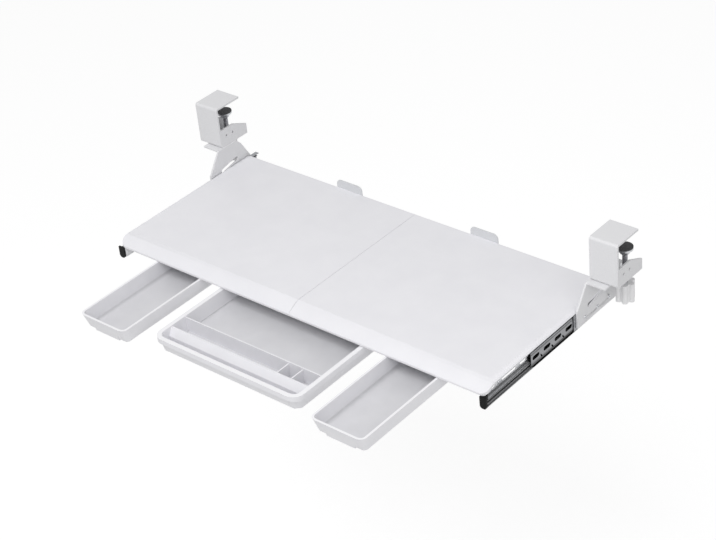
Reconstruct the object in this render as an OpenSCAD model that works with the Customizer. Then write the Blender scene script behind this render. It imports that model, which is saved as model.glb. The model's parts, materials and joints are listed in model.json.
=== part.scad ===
// Pull-out tray that clamps to the edge of a board, with a middle drawer and two side drawers.
// The origin is on the clamped edge, midway between the clamps, level with the board's top.
// X runs along the clamped edge, Y points under the board and Z is up.
// The tray and all three drawers are drawn out towards the user.

/* [Clamps] */
// Thickness of the board that the clamps hold
board_t = 25; // [18:1:33]
// Width of a clamp bracket
clamp_w = 46; // [42:1:60]
// Steel thickness of a clamp bracket
clamp_steel = 3; // [2:0.5:4]
// Reach of the top jaw behind the clamped edge
jaw_reach = 49; // [40:1:70]
// Reach of the lower jaw behind the clamped edge
lower_reach = 58; // [56:1:80]
// Clear height from the board's top down to the lower jaw
throat_h = 62.5; // [58:0.5:80]
// Outside bend radius of the brackets
bend_r = 4; // [3:0.5:6]
// Height of the bracket's side walls at the front
side_wall_h = 27; // [18:1:30]
// Height of the bracket's side walls at the rear
side_wall_rear_h = 14; // [8:1:17]
// Diameter of the holes in the side walls
wall_hole_d = 4; // [2:0.5:6]
// Thickness of the anti-slip pad under the top jaw
top_pad_t = 1.5; // [1:0.5:3]
// Margin of bare steel round the anti-slip pad
top_pad_margin = 2; // [1:0.5:5]

/* [Clamp screws] */
// Diameter of the clamp screw
screw_d = 8; // [6:1:10]
// Length of the clamp screw
screw_len = 75; // [70:1:90]
// How far the screw stands outward of the bracket's middle
screw_shift = 6; // [0:0.5:7]
// Distance of the screw behind the clamped edge
screw_y = 41; // [40:1:44]
// Height of the nut that is welded to the lower jaw
weld_nut_h = 6.5; // [5:0.5:8]
// Width across the flats of the welded nut
weld_nut_af = 13; // [12:0.5:16]
// Diameter of the swivel foot
foot_d = 24; // [18:1:26]
// Thickness of the swivel foot's disc
foot_t = 3; // [2:0.5:4]
// Height of the hub under the foot's disc
foot_hub_h = 6; // [4:0.5:8]
// Wall of the foot's hub round the screw
foot_hub_wall = 3; // [2:0.5:4]
// Thickness of the soft pad on the foot
foot_pad_t = 1.5; // [1:0.5:3]
// Diameter of the knob over its lobes
knob_d = 29; // [24:1:32]
// Height of the knob
knob_h = 30; // [26:1:36]
// Number of lobes on the knob
knob_lobes = 6; // [5:1:8]
// Radius of a lobe
knob_lobe_r = 4; // [3:0.5:5]
// Length of screw held in the knob
knob_grip = 22; // [15:1:24]

/* [Hangers] */
// Steel thickness of a hanger
hanger_steel = 3; // [2:0.5:4]
// Width of the flange that bolts under the clamp
hanger_flange_w = 33; // [28:1:36]
// Distance of the clamp's side from the hanger's inner face
clamp_offset = 1.5; // [0.5:0.5:3]
// Front end of the hanger's top edge, in front of the clamped edge
hanger_top_front = 12; // [8:1:16]
// Length of the hanger's top edge
hanger_top_len = 41; // [36:1:44]
// Front end of the hanger's lower edge, in front of the clamped edge
hanger_low_front = 36; // [30:1:40]
// Length of the hanger's lower edge
hanger_low_len = 96; // [88:1:110]
// Height of the upright part of the front edge
hanger_front_h = 28.5; // [24:0.5:34]
// Height of the upright part of the rear edge
hanger_rear_h = 17.5; // [14:0.5:22]
// Depth of the shoulder below the rear of the top edge
hanger_shoulder = 10; // [6:1:14]
// Distance of the lower edge below the middle of the slides
hanger_low_drop = 10; // [8:0.5:13]
// Length of the window in the hanger
window_len = 40; // [30:1:46]
// Height of the window in the hanger
window_h = 7; // [4:0.5:9]
// Rise of the window towards the rear in degrees
window_tilt = 12; // [0:1:15]
// Diameter of the bolts through hanger and clamp
hanger_bolt_d = 6; // [5:0.5:8]
// Distance of a hanger's first bolt behind the clamped edge
hanger_bolt_y = 7.5; // [7:0.5:9]
// Distance between a hanger's two bolts
hanger_bolt_pitch = 14; // [13:0.5:15]

/* [Telescopic slides] */
// Length of the slide members on the tray
slide_len = 250; // [230:5:270]
// Length of the fixed slide members
fixed_len = 110; // [106:1:130]
// Length of the middle slide members
mid_len = 205; // [200:1:240]
// Travel of the tray on its slides
slide_travel = 177; // [170:1:180]
// Share of the tray's travel that the middle members make
mid_share = 0.565; // [0.55:0.005:0.58]
// Thickness of the whole slide
slide_t = 11; // [10.5:0.5:13]
// Height of the fixed member
slide_h = 26; // [24:0.5:28]
// Sheet thickness of the slide members
slide_steel = 0.8; // [0.7:0.1:1]
// Height of the ball race between two members
race_h = 1.4; // [1.2:0.1:1.6]
// Distance between the webs of the fixed and middle members
web_gap = 0.6; // [0.5:0.1:1]
// Width of the flanges of the fixed member
fixed_flange = 7.5; // [7:0.5:8]
// Width of the flanges of the middle member
mid_flange = 7; // [6.5:0.5:7.5]
// Width of the flanges of the tray's member
inner_flange = 6.5; // [6:0.5:7]
// Fixed members' front end, in front of the clamped edge
slide_front = 41.5; // [38:0.5:48]
// Distance of the first slot's middle from a middle member's front end
slot_start = 11.5; // [11:0.5:16]
// Distance between two slots along a middle member
slot_pitch = 26; // [24:1:32]
// Length of a slot in a middle member
slot_len = 16; // [10:1:18]
// Height of a slot in a middle member
slot_h = 6.5; // [3:0.5:7]
// Length of the leaning notches between the slots
notch_len = 7; // [4:0.5:7.5]
// Width of the notches between the slots
notch_w = 2.4; // [1:0.2:2.6]
// Lean of the notches in degrees
notch_lean = 56; // [45:1:70]
// Distance of a notch behind its slot's middle
notch_back = 12.5; // [11:0.5:13]
// Height of the grooves along a middle member's edges
groove_h = 0.8; // [0.4:0.2:1.2]
// Depth of the grooves along a middle member's edges
groove_d = 0.3; // [0.1:0.1:0.4]
// Height of the windows in the tray's member and its side channel
pane_h = 9; // [6:0.5:9.5]
// Length of the short windows in the tray's member
short_pane = 10; // [10:0.5:11]
// Length of the middle-sized windows in the tray's member
mid_pane = 15; // [11:1:18]
// Length of the long windows in the tray's member
long_pane = 34; // [20:1:36]
// Distance from one window or screw to the next window
pane_gap = 7; // [6:0.5:7.5]
// Diameter of a bearing ball
ball_d = 0.9; // [0.7:0.1:0.9]
// Distance between two balls in a cage
ball_pitch = 11; // [8:1:14]
// Distance that a cage strip keeps from the ends of its members
cage_margin = 2; // [1:0.5:4]
// Thickness of a cage strip
cage_t = 0.5; // [0.4:0.1:0.6]
// Width of a cage strip
cage_w = 2.6; // [2:0.2:3]
// Thickness of a slide's black front cap
cap_t = 3; // [2:0.5:5]
// How far a front cap stands below the tray's member
cap_under = 2.2; // [0:0.1:3]
// Radius of the lower corners of a slide's front cap
cap_r = 4.5; // [1:0.5:5]

/* [Tray] */
// Width of the tray
tray_w = 696; // [660:1:800]
// Depth of the tray's flat top, from the crease to the rear edge
tray_flat_d = 269; // [260:1:320]
// Distance of the tray's top below the board's top
tray_drop = 101.5; // [98:0.5:110]
// Depth of the sloping nose in front of the crease
nose_d = 23; // [20:1:30]
// Drop of the nose from the crease to its lip
nose_drop = 12; // [8:0.5:12.5]
// Height of the lip under the nose
nose_lip = 3; // [1:0.5:3]
// Radius of the nose's rounded slope
nose_r = 60; // [40:1:90]
// Thickness of the panels
panel_t = 4; // [3.5:0.5:4.5]
// Width of the rounding along the tray's side edges
edge_w = 9; // [5:0.5:10]
// Drop of the rounding along the tray's side edges
edge_drop = 3; // [2:0.5:3]
// Corner radius of the tray's front in plan
front_corner_r = 12; // [10:1:30]
// Corner radius of the tray's rear in plan
rear_corner_r = 6; // [3:1:12]
// Gap of the seam between the two panels
seam_gap = 0.4; // [0.2:0.1:1]
// How far the slides stand in front of the crease
slide_ahead = 22; // [20:0.5:26]
// Width of the plate that joins the panels
joiner_w = 40; // [32:1:60]
// Thickness of the plate that joins the panels
joiner_t = 1.5; // [1:0.5:2]

/* [Stop tabs] */
// Width of a rear stop tab
tab_w = 50; // [36:1:70]
// Distance of a tab's middle from the seam
tab_x = 130; // [110:1:160]
// Height of a tab above the tray
tab_h = 14; // [8:1:25]
// Sheet thickness of a tab
tab_t = 2; // [1:0.5:3]
// Radius of a tab's top corners
tab_r = 8; // [2:1:8]
// Depth of the foot under the panel
tab_foot = 22; // [16:1:28]

/* [Under frame] */
// Distance of the side channels' outer face from the tray's edge
channel_inset = 10; // [10:0.5:14]
// Sheet thickness of the side channels
channel_t = 1.2; // [1:0.1:1.5]
// Width of the side channels' upper flange
channel_flange = 22; // [20:1:28]
// Width of a crossbar
bar_w = 28; // [24:1:36]
// Height of a crossbar
bar_h = 7.5; // [7:0.5:8]
// Sheet thickness of a crossbar
bar_t = 1.2; // [1:0.1:1.5]
// Distance of the front crossbar behind the crease
front_bar_y = 6; // [4:1:12]
// Distance of the rear crossbar from the tray's rear edge
rear_bar_back = 36; // [30:1:44]
// Diameter of the frame screws
fix_d = 3; // [2.5:0.5:3.5]
// Head diameter of the frame screws
fix_head_d = 5.6; // [5:0.2:6.4]
// Head height of the frame screws
fix_head_h = 1.2; // [1:0.1:1.5]
// Depth that a screw reaches into a panel
fix_bite = 2.5; // [2:0.5:2.5]

/* [Drawer runners] */
// Sheet thickness of the runners
runner_t = 1.2; // [1:0.1:1.3]
// How far the runners reach past the rear crossbar
runner_past = 3; // [2:0.5:8]
// Distance of the runners' front end ahead of the crease
runner_ahead = 8; // [5:1:9]
// Width of the flange that carries a runner
runner_flange = 8; // [7:0.5:8]
// Width of the tongues that hang a drawer in its runners
tongue_w = 5; // [4:0.5:6]
// Height of the tongues that hang a drawer
tongue_h = 2.5; // [2:0.5:4]

/* [Side drawers] */
// Width of a side drawer at its rim
side_w = 92; // [80:1:100]
// Gap between the middle drawer's rim and a side drawer
drawer_gap = 39; // [31:0.5:44]
// Length of a side drawer
side_d = 250; // [230:1:252]
// Height of a side drawer
side_h = 27.5; // [24:0.5:40]
// Distance of a side drawer's rim below the tray's top
side_drop = 16; // [15.5:0.5:17]
// How far a side drawer stands in front of the crease
side_out = 183; // [150:1:186]
// Wall thickness of a side drawer
side_wall = 3.5; // [2:0.5:3.5]
// Floor thickness of a side drawer
side_floor = 2; // [1.5:0.5:3]
// Corner radius of a side drawer in plan
side_corner_r = 10; // [5:1:14]
// Radius along the bottom edges of a side drawer
side_bottom_r = 9.5; // [4:0.5:10]
// Lean of a side drawer's long walls
side_draft = 3; // [1:0.5:4]
// Lean of a side drawer's front wall
side_front_lean = 9; // [3:0.5:10]
// Width of the finger lip along a side drawer's lower front edge
lip_w = 48; // [40:1:64]
// Height of the finger lip
lip_h = 7; // [5:0.5:9]
// How far the finger lip stands in front of the drawer's lower edge
lip_out = 1; // [0.5:0.5:3]

/* [Middle drawer] */
// Width of the middle drawer over its rim
mid_w = 274; // [250:1:290]
// Length of the middle drawer over its rim
mid_d = 250; // [230:1:252]
// Height of the middle drawer
mid_h = 27.5; // [24:0.5:40]
// Distance of the middle drawer's rim below the tray's top
mid_drop = 17; // [16.5:0.5:18]
// How far the middle drawer stands in front of the crease
mid_out = 164; // [140:1:168]
// Overhang of the rim over the walls
rim_over = 1.5; // [1:0.5:3]
// Height of the rim
rim_h = 8; // [4:0.5:10]
// Corner radius of the rim in plan
rim_corner_r = 18; // [12:1:26]
// Wall thickness of the middle drawer
mid_wall = 5.5; // [3:0.5:5.5]
// Floor thickness of the middle drawer
mid_floor = 2; // [1.5:0.5:3]
// Lean of the middle drawer's side and rear walls
mid_draft = 2.5; // [1:0.5:4]
// Lean of the middle drawer's front wall
mid_front_lean = 6; // [2:0.5:8]
// Radius along the bottom edges of the middle drawer
mid_bottom_r = 8; // [7:0.5:10]
// Distance of the front trough's ridge behind the rim's front
ridge_y = 33; // [30:1:40]
// Depth of the slope in front of the ridge
ridge_slope = 8; // [6:1:12]
// Drop of the slope in front of the ridge
ridge_drop = 11; // [8:0.5:16]
// Thickness of the ridge and of the dividers
divider_t = 2; // [1.5:0.5:3]
// Width of the row of small bins behind the ridge
bin_row_d = 28; // [18:1:34]
// Depth of the dividers' top edge below the rim
divider_drop = 1.5; // [1:0.5:6]
// Distance of the first bin divider from the drawer's middle
bin_divider_x = 68; // [40:1:80]
// Width of the small bin between the two dividers
bin_w = 26; // [16:1:30]

/* [Clearances] */
// Running clearance between pieces that slide on each other
run_gap = 0.3; // [0.2:0.05:0.4]
// Clearance between the tray's underside and the fixed slides
slide_clear = 0.5; // [0.3:0.1:1]
// Radial clearance of the clamp screw in its nut and foot
thread_gap = 0.08; // [0.04:0.01:0.1]
// Radial clearance of bolts and screws in their holes
hole_gap = 0.1; // [0.05:0.05:0.3]
// Distance that the slides keep from the nose when the tray is pushed in
crease_gap = 2.5; // [1:0.5:4]

/* [Hidden] */
$fn = 48;
// Overshoot of cutting shapes past the faces that they cut
over = 1;
// Number of flats along a drawer's rounded bottom edge
round_steps = 6;
// Distance that the rounding under a drawer's corner keeps from the corner's wall
corner_ease = 0.3;

// Levels below the board's top
jaw_z = top_pad_t;
lower_z = -throat_h;
lower_under = lower_z - clamp_steel;
tray_z = -tray_drop;
panel_low = tray_z - panel_t;
bar_low = panel_low - bar_h;
slide_z = panel_low - slide_clear - slide_h / 2;
channel_floor = slide_z - slide_h / 2 - slide_clear;
hanger_low_z = slide_z - hanger_low_drop;
nose_low = tray_z - nose_drop - nose_lip - run_gap;
cap_low = channel_floor - slide_steel - cap_under;
side_rim_z = tray_z - side_drop;
mid_rim_z = tray_z - mid_drop;

// Faces across the right side, from the tray outward
channel_x = tray_w / 2 - channel_inset;
hanger_x = channel_x + slide_t;
clamp_x0 = hanger_x + clamp_offset;
clamp_x1 = clamp_x0 + clamp_w;
screw_x = (clamp_x0 + clamp_x1) / 2 + screw_shift;

// Slide members: their webs, heights and front ends
fixed_y = -slide_front;
mid_travel = slide_travel * mid_share;
mid_y = fixed_y - mid_travel;
crease_y = fixed_y - slide_travel - crease_gap;
inner_y = crease_y - slide_ahead;
mid_web_x = hanger_x - slide_steel - web_gap;
mid_member_h = slide_h - 2 * (slide_steel + race_h);
inner_member_h = mid_member_h - 2 * (slide_steel + race_h);
outer_cage_x = (hanger_x - fixed_flange + mid_web_x) / 2;
inner_cage_x = (mid_web_x - mid_flange + channel_x + inner_flange) / 2;
slot_count = floor((mid_len - 2 * slot_start) / slot_pitch) + 1;
notch_z = slide_z - mid_member_h / 4 - slot_h / 8;

// Ball cages: each rolls half as far as the two members that it lies between move apart
outer_run = mid_travel / 2;
inner_run = (slide_travel - mid_travel) / 2;
inner_overlap = inner_y + slide_len - mid_y;
outer_ball_count = floor((fixed_len - outer_run - 2 * cage_margin) / ball_pitch);
inner_ball_count = floor((inner_overlap - inner_run - 2 * cage_margin) / ball_pitch);
outer_cage_y = fixed_y + (fixed_len - outer_run - outer_ball_count * ball_pitch) / 2;
inner_cage_y = mid_y + (inner_overlap - inner_ball_count * ball_pitch) / 2;

// Tray: rear edge and the circle of the nose's slope
rear_y = crease_y + tray_flat_d;
nose_chord = sqrt(nose_d * nose_d + nose_drop * nose_drop);
nose_rise = sqrt(nose_r * nose_r - nose_chord * nose_chord / 4);
nose_cy = crease_y - nose_d / 2 + nose_rise * nose_drop / nose_chord;
nose_cz = tray_z - nose_drop / 2 - nose_rise * nose_d / nose_chord;
edge_r = (edge_w * edge_w + edge_drop * edge_drop) / (2 * edge_drop);
front_bar = crease_y + front_bar_y;
rear_bar = rear_y - rear_bar_back - bar_w;
bar_half = channel_x - channel_t;
joiner_y = front_bar + bar_w + over;
joiner_len = rear_bar - over - joiner_y;

// Drawers at rest: front edges, and where their runners lie
side_y = crease_y - side_out;
mid_drawer_y = crease_y - mid_out;
side_x = mid_w / 2 + drawer_gap + side_w / 2;
runner_y = crease_y - runner_ahead;
runner_len = rear_bar + bar_w + runner_past - runner_y;
tongue_y = runner_y + runner_t + run_gap;

// Fasteners
hanger_bolt_x = clamp_x0 + hanger_flange_w / 2;
hanger_bolt_head_h = hanger_bolt_d * 0.65;
hanger_bolt_head_d = hanger_bolt_d * 1.9;
hanger_bolt_ys = [hanger_bolt_y, hanger_bolt_y + hanger_bolt_pitch];
hanger_nut_h = hanger_bolt_d * 0.8;
hanger_nut_d = hanger_bolt_d * 1.9;
fix_r = fix_d / 2;
fix_hole_r = fix_r + hole_gap;
fixed_screw_pitch = hanger_low_len * 0.31;
fixed_screw_mid = -hanger_low_front + hanger_low_len / 2;
fixed_screw_ys = [for (i = [-1 : 1]) fixed_screw_mid + i * fixed_screw_pitch];
inner_screw_pitch = slide_len * 0.34;
inner_screw_ys = [for (i = [-1 : 1]) inner_y + slide_len / 2 + i * inner_screw_pitch];
long_pane_y = inner_screw_ys[0] + pane_gap + long_pane / 2;
inner_panes = [
    [inner_screw_ys[0] - pane_gap - short_pane / 2, short_pane],
    [long_pane_y, long_pane],
    [long_pane_y + long_pane / 2 + pane_gap + mid_pane / 2, mid_pane],
    [inner_screw_ys[2] - pane_gap - long_pane / 2, long_pane],
    [inner_screw_ys[2] + pane_gap + short_pane / 2, short_pane]
];
joiner_screw_x = joiner_w / 4;
joiner_screw_ys = [for (i = [1 : 2 : 5]) joiner_y + joiner_len * i / 6];
edge_screw_x = channel_x - channel_flange + fix_head_d;
edge_screw_ys = [for (i = [1 : 2 : 5]) joiner_y + joiner_len * i / 6];
bar_screw_xs = [joiner_w, side_x, edge_screw_x];
bar_screw_ys = [front_bar + bar_w / 2, rear_bar + bar_w / 2];
tab_screw_xs = [tab_x - tab_w / 4, tab_x + tab_w / 4];
tab_screw_y = rear_y - tab_foot / 2;

// Upper face of the clamp screw and of what follows it
foot_low = -board_t - foot_pad_t - foot_t;
screw_top = foot_low - run_gap;
screw_low = screw_top - screw_len;
knob_top = screw_low + knob_grip;

WHITE_STEEL = [0.9, 0.9, 0.91];
WHITE_PLASTIC = [0.93, 0.93, 0.94];
LIGHT_GREY = [0.8, 0.8, 0.82];
ZINC = [0.66, 0.67, 0.69];
DARK_ZINC = [0.45, 0.46, 0.48];
BLACK_PLASTIC = [0.06, 0.06, 0.06];
GREY_RUBBER = [0.25, 0.25, 0.26];

// Shared shapes

// Extrudes a side view, drawn as depth and height, along X
module along_x(x0, len) {
    translate([x0, 0, 0])
        rotate([90, 0, 90])
            linear_extrude(len)
                children();
}

// Extrudes a front view, drawn as width and height, along Y
module along_y(y0, len) {
    translate([0, y0 + len, 0])
        rotate([90, 0, 0])
            linear_extrude(len)
                children();
}

// Makes the left-hand twin of a right-hand piece
module on_left() {
    mirror([1, 0, 0])
        children();
}

// Makes a right-hand piece and its left-hand twin
module on_both_sides() {
    children();
    on_left()
        children();
}

// Cuts the corner at the origin of a plate in the first quadrant to a radius
module corner_cut(r) {
    difference() {
        translate([-over, -over])
            square(r + over);
        translate([r, r])
            circle(r);
    }
}

// Rectangle with round corners, its lower left corner at the origin
module round_rect(w, d, r) {
    translate([r, 0])
        square([w - 2 * r, d]);
    translate([0, r])
        square([w, d - 2 * r]);
    for (x = [r, w - r])
        for (y = [r, d - r])
            translate([x, y])
                circle(r);
}

// Slot with round ends, centred on the origin
module slot_shape(len, h) {
    square([len - h, h], center = true);
    for (x = [-1, 1])
        translate([x * (len - h) / 2, 0])
            circle(d = h);
}

// Cylinder along X from x0 to x1
module rod_x(x0, x1, r) {
    translate([x0, 0, 0])
        rotate([0, 90, 0])
            cylinder(r = r, h = x1 - x0);
}

// Hexagonal block standing on the origin, with a hole through it
module hex_nut(d, h, hole_r) {
    difference() {
        cylinder(d = d, h = h, $fn = 6);
        translate([0, 0, -over])
            cylinder(r = hole_r, h = h + 2 * over);
    }
}

// Frame screw standing head down on the origin
module frame_screw(reach) {
    cylinder(r = fix_r, h = reach);
    translate([0, 0, -fix_head_h])
        cylinder(d = fix_head_d, h = fix_head_h);
}

// Points of one leaning wall with a rounded foot, from the rim at the origin's height downward
function wall_points(top, foot, h, r) =
    let (lean = atan((top - foot) / h))
    let (cx = foot + r * tan(lean) - r / cos(lean))
    concat(
        [[top, 0]],
        [for (i = [0 : round_steps])
            let (a = -lean - (90 - lean) * i / round_steps)
            [cx + r * cos(a), r - h + r * sin(a)]]
    );

function mirrored(points) = [for (i = [len(points) - 1 : -1 : 0]) [-points[i][0], points[i][1]]];

// Rounds the right front corner of a box whose rim corner lies at the origin and whose walls
// lean in by side and front towards its floor
module leaning_corner_cut(side, front, h, r) {
    edge = sqrt(side * side + front * front + h * h);
    reach = r + over;
    rotate([asin(front / edge), atan(side / h), 0])
        translate([0, 0, -edge - reach])
            linear_extrude(edge + 2 * reach)
                mirror([1, 0])
                    corner_cut(r);
}

// Rounds the foot of that corner, whose wall leans in by lean along the diagonal
module corner_foot_cut(lean, h, r, foot_r) {
    top = corner_ease - r * (sqrt(2) - 1);
    wall = wall_points(top, top - lean, h, foot_r);
    arc = [for (i = [1 : len(wall) - 1]) wall[i]];
    rotate(-45)
        along_y(-2 * r, 4 * r)
            polygon(concat(arc, [[arc[round_steps][0], -h - over], [over, -h - over], [over, arc[0][1]]]));
}

// Solid with leaning walls, round corners and rounded lower edges. Its rim lies at z = 0,
// its width is centred on x = 0 and its front is at y = 0.
module tub(w, d, h, draft, front_lean, corner_r, bottom_r) {
    side = wall_points(w / 2, w / 2 - draft, h, bottom_r);
    front = wall_points(d / 2, d / 2 - front_lean, h, bottom_r);
    rear = wall_points(d / 2, d / 2 - draft, h, bottom_r);
    difference() {
        intersection() {
            along_y(-over, d + 2 * over)
                polygon(concat(side, mirrored(side)));
            translate([0, d / 2, 0])
                along_x(-w / 2 - over, w + 2 * over)
                    polygon(concat(rear, mirrored(front)));
        }
        on_both_sides() {
            translate([w / 2, 0, 0]) {
                leaning_corner_cut(draft, front_lean, h, corner_r);
                corner_foot_cut((draft + front_lean) / sqrt(2), h, corner_r, bottom_r);
            }
            translate([w / 2, d, 0])
                mirror([0, 1, 0]) {
                    leaning_corner_cut(draft, draft, h, corner_r);
                    corner_foot_cut(draft * sqrt(2), h, corner_r, bottom_r);
                }
        }
    }
}

// Clamps

module clamp_profile() {
    front_h = jaw_z + clamp_steel - lower_under;
    difference() {
        union() {
            translate([-clamp_steel, jaw_z])
                square([clamp_steel + jaw_reach, clamp_steel]);
            translate([-clamp_steel, lower_under])
                square([clamp_steel, front_h]);
            translate([-clamp_steel, lower_under])
                square([clamp_steel + lower_reach, clamp_steel]);
        }
        translate([-clamp_steel, lower_under])
            corner_cut(bend_r);
        translate([-clamp_steel, jaw_z + clamp_steel])
            mirror([0, 1])
                corner_cut(bend_r);
    }
}

module clamp_side_wall() {
    difference() {
        polygon([
            [-clamp_steel / 2, lower_z - clamp_steel / 2],
            [lower_reach, lower_z - clamp_steel / 2],
            [lower_reach, lower_z + side_wall_rear_h],
            [lower_reach / 2, lower_z + side_wall_h],
            [-clamp_steel / 2, lower_z + side_wall_h]
        ]);
        for (y = [lower_reach * 0.2, lower_reach * 0.45])
            translate([y, lower_z + side_wall_rear_h])
                circle(d = wall_hole_d);
    }
}

module clamp_bracket() {
    color(WHITE_STEEL)
        difference() {
            union() {
                along_x(clamp_x0, clamp_w)
                    clamp_profile();
                for (x = [clamp_x0, clamp_x1 - clamp_steel])
                    along_x(x, clamp_steel)
                        clamp_side_wall();
            }
            translate([screw_x, screw_y, lower_under - over])
                cylinder(r = screw_d / 2 + run_gap, h = clamp_steel + 2 * over);
            for (y = hanger_bolt_ys)
                translate([hanger_bolt_x, y, lower_under - over])
                    cylinder(r = hanger_bolt_d / 2 + hole_gap, h = clamp_steel + 2 * over);
        }
}

module top_pad() {
    color(GREY_RUBBER)
        translate([clamp_x0 + top_pad_margin, top_pad_margin, 0])
            cube([clamp_w - 2 * top_pad_margin, jaw_reach - 2 * top_pad_margin, top_pad_t]);
}

module clamp_nuts() {
    nut_d = weld_nut_af / cos(30);
    color(ZINC)
        on_both_sides()
            translate([screw_x, screw_y, lower_z])
                hex_nut(nut_d, weld_nut_h, screw_d / 2 + thread_gap);
}

module clamp_foot() {
    bore_r = screw_d / 2 + thread_gap;
    color(ZINC)
        translate([screw_x, screw_y, foot_low])
            difference() {
                union() {
                    cylinder(d = foot_d, h = foot_t);
                    translate([0, 0, -foot_hub_h])
                        cylinder(r = screw_d / 2 + foot_hub_wall, h = foot_hub_h);
                }
                translate([0, 0, -foot_hub_h - over])
                    cylinder(r = bore_r, h = foot_hub_h + over);
            }
}

module foot_pad() {
    color(GREY_RUBBER)
        translate([screw_x, screw_y, -board_t - foot_pad_t])
            cylinder(d = foot_d, h = foot_pad_t);
}

module clamp_screw() {
    color(DARK_ZINC)
        translate([screw_x, screw_y, screw_low])
            cylinder(d = screw_d, h = screw_len);
}

module clamp_knob() {
    lobe_at = knob_d / 2 - knob_lobe_r;
    color(WHITE_PLASTIC)
        translate([screw_x, screw_y, knob_top - knob_h])
            difference() {
                union() {
                    cylinder(r = lobe_at, h = knob_h);
                    for (i = [0 : knob_lobes - 1])
                        rotate(i * 360 / knob_lobes)
                            translate([lobe_at, 0, 0])
                                cylinder(r = knob_lobe_r, h = knob_h);
                }
                translate([0, 0, knob_h - knob_grip])
                    cylinder(r = screw_d / 2 + thread_gap, h = knob_grip + over);
            }
}

// Hangers

module hanger_outline() {
    polygon([
        [-hanger_top_front, lower_under],
        [-hanger_low_front, hanger_low_z + hanger_front_h],
        [-hanger_low_front, hanger_low_z],
        [hanger_low_len - hanger_low_front, hanger_low_z],
        [hanger_low_len - hanger_low_front, hanger_low_z + hanger_rear_h],
        [hanger_top_len - hanger_top_front + hanger_shoulder, lower_under - hanger_shoulder],
        [hanger_top_len - hanger_top_front, lower_under]
    ]);
}

module hanger() {
    window_y = -hanger_top_front + hanger_top_len / 2;
    window_z = hanger_low_z + hanger_front_h;
    color(WHITE_STEEL)
        difference() {
            union() {
                along_x(hanger_x, hanger_steel)
                    hanger_outline();
                translate([hanger_x, -hanger_top_front, lower_under - hanger_steel])
                    cube([hanger_flange_w, hanger_top_len, hanger_steel]);
            }
            along_x(hanger_x - over, hanger_steel + 2 * over)
                translate([window_y, window_z])
                    rotate(window_tilt)
                        slot_shape(window_len, window_h);
            for (y = fixed_screw_ys)
                translate([0, y, slide_z])
                    rod_x(hanger_x - over, hanger_x + hanger_steel + over, fix_hole_r);
            for (y = hanger_bolt_ys)
                translate([hanger_bolt_x, y, lower_under - hanger_steel - over])
                    cylinder(r = hanger_bolt_d / 2 + hole_gap, h = hanger_steel + 2 * over);
        }
}

module hanger_bolts() {
    stack = clamp_steel + hanger_steel + hanger_nut_h;
    color(DARK_ZINC)
        on_both_sides()
            for (y = hanger_bolt_ys)
                translate([hanger_bolt_x, y, lower_under - hanger_steel]) {
                    translate([0, 0, -hanger_bolt_head_h])
                        cylinder(d = hanger_bolt_head_d, h = hanger_bolt_head_h, $fn = 6);
                    cylinder(d = hanger_bolt_d, h = stack);
                }
}

module hanger_nuts() {
    color(ZINC)
        on_both_sides()
            for (y = hanger_bolt_ys)
                translate([hanger_bolt_x, y, lower_z])
                    hex_nut(hanger_nut_d, hanger_nut_h, hanger_bolt_d / 2 + hole_gap);
}

// Telescopic slides

// Channel section with its web on the right and its flanges pointing left
module channel_section(web_x, flange, h, sheet) {
    difference() {
        translate([web_x - flange, -h / 2])
            square([flange, h]);
        translate([web_x - flange - over, sheet - h / 2])
            square([flange + over - sheet, h - 2 * sheet]);
    }
}

module fixed_slide() {
    color(ZINC)
        difference() {
            translate([0, 0, slide_z])
                along_y(fixed_y, fixed_len)
                    channel_section(hanger_x, fixed_flange, slide_h, slide_steel);
            for (y = fixed_screw_ys)
                translate([0, y, slide_z])
                    rod_x(hanger_x - slide_steel - over, hanger_x + over, fix_hole_r);
        }
}

module fixed_slide_screws() {
    color(ZINC)
        on_both_sides()
            for (y = fixed_screw_ys)
                translate([0, y, slide_z]) {
                    rod_x(hanger_x - slide_steel, hanger_x + hanger_steel, fix_r);
                    rod_x(hanger_x + hanger_steel, hanger_x + hanger_steel + fix_head_h, fix_head_d / 2);
                }
}

// Cuts a side view through the middle member's web
module mid_web_cut() {
    along_x(mid_web_x - slide_steel - over, slide_steel + 2 * over)
        children();
}

module mid_slide() {
    color(ZINC)
        difference() {
            translate([0, 0, slide_z])
                along_y(mid_y, mid_len)
                    difference() {
                        channel_section(mid_web_x, mid_flange, mid_member_h, slide_steel);
                        for (side = [-1, 1])
                            translate([mid_web_x, side * (mid_member_h / 2 - 2 * groove_h)])
                                square([2 * groove_d, groove_h], center = true);
                    }
            for (i = [0 : slot_count - 1])
                translate([0, mid_y + slot_start + i * slot_pitch, slide_z])
                    mid_web_cut()
                        slot_shape(slot_len, slot_h);
            for (i = [0 : slot_count - 2])
                translate([0, mid_y + slot_start + i * slot_pitch + notch_back, notch_z])
                    mid_web_cut()
                        rotate(-notch_lean)
                            square([notch_len, notch_w], center = true);
        }
}

// Section of the tray's member: its flanges point outward, and its web reaches down to a
// third flange that runs under the slide
module inner_section() {
    skirt_low = channel_floor - slide_steel - slide_z;
    mirror([1, 0])
        channel_section(0, inner_flange, inner_member_h, slide_steel);
    translate([0, skirt_low])
        square([slide_steel, -skirt_low]);
    translate([0, skirt_low])
        square([slide_t - slide_clear, slide_steel]);
}

// Room for the nose: what lies under the panel in front of the crease stays below it
module nose_room(x, w) {
    translate([x - over, inner_y - over, nose_low])
        cube([w + 2 * over, crease_y - inner_y + 2 * over, panel_low - nose_low + over]);
}

// Cuts the row of windows through a web that lies between x and x + w
module pane_cuts(x, w) {
    for (pane = inner_panes)
        translate([0, pane[0], slide_z])
            along_x(x - over, w + 2 * over)
                slot_shape(pane[1], pane_h);
}

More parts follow.
